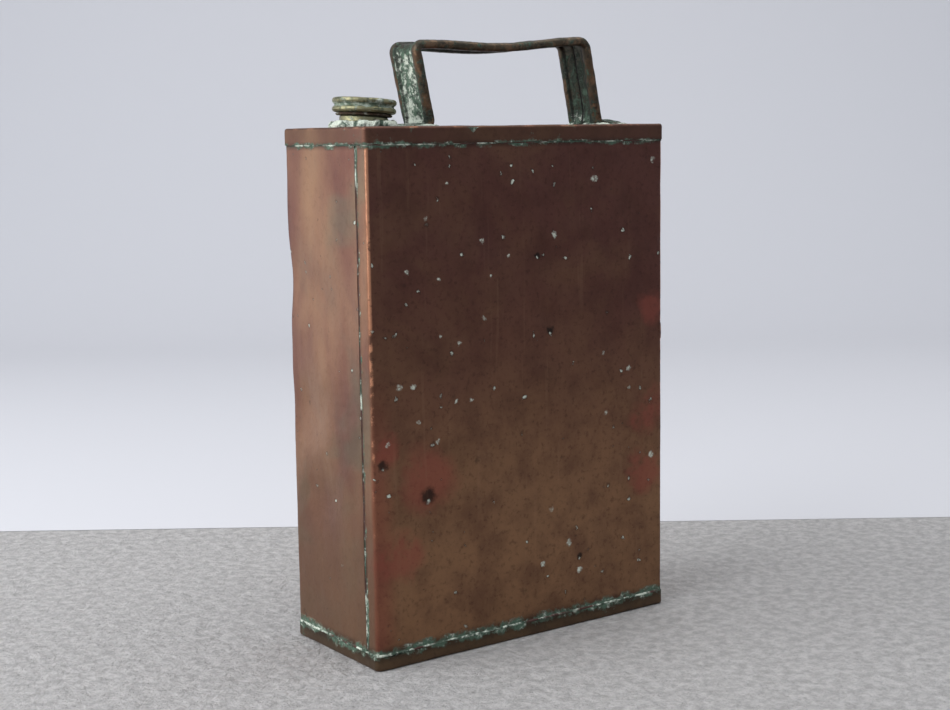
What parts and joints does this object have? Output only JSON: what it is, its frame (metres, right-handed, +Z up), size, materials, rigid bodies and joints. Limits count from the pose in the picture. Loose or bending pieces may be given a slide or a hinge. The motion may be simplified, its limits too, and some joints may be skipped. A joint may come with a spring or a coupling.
{
  "type": "oil can",
  "caption": "Flat rectangular copper oil can with soldered laps and ends, a wired strap handle and a screw stopper over an offset filler neck.",
  "frame": {"origin": "middle of the underside that the can stands on", "axes": "+Z up; X along the broad face, +X towards the handle's far foot and the filler at -X; -Y is the front, the broad face whose edges are folded round onto the sides"},
  "size_m": [0.203, 0.0854, 0.335],
  "materials": {
    "shell_copper": "copper sheet with a dark brown patina, verdigris spots and shallow dents",
    "end_copper": "copper sheet, brown patina with rubbed bright edges",
    "handle_copper": "folded copper strap, dark with green verdigris on the legs",
    "filler_brass": "tarnished cast and turned brass, olive, with pale corrosion",
    "wire_steel": "dull iron wire",
    "washer_leather": "oil-soaked leather",
    "solder": "lumpy tin-lead solder, whitened and stained by verdigris"
  },
  "bodies": {
    "can": {"front_shell": "shell_copper", "back_shell": "shell_copper", "top_end": "end_copper", "bottom_end": "end_copper", "left_lap_solder": "solder", "right_lap_solder": "solder", "top_seam_solder": "solder", "bottom_seam_solder": "solder", "handle_strap": "handle_copper", "front_handle_wire": "wire_steel", "back_handle_wire": "wire_steel", "left_foot_solder": "solder", "right_foot_solder": "solder", "filler_boss": "filler_brass", "filler_solder": "solder"},
    "stopper_washer": {"stopper_washer": "washer_leather"},
    "stopper": {"stopper": "filler_brass"}
  },
  "joints": [
    {"name": "stopper_lift", "type": "slide", "parent": "can", "child": "stopper_washer", "axis": [0.0767, 0, 0.9971], "range_m": [0, 0.009]},
    {"name": "stopper_turn", "type": "hinge", "parent": "stopper_washer", "child": "stopper", "pos_m": [-0.0756, 0, 0.285], "axis": [0.0767, 0, 0.9971], "range_deg": [0, 1080]}
  ],
  "couplings": [
    {"joint": "stopper_lift", "follows": "stopper_turn", "m_per_rad": 0.00047746}
  ]
}
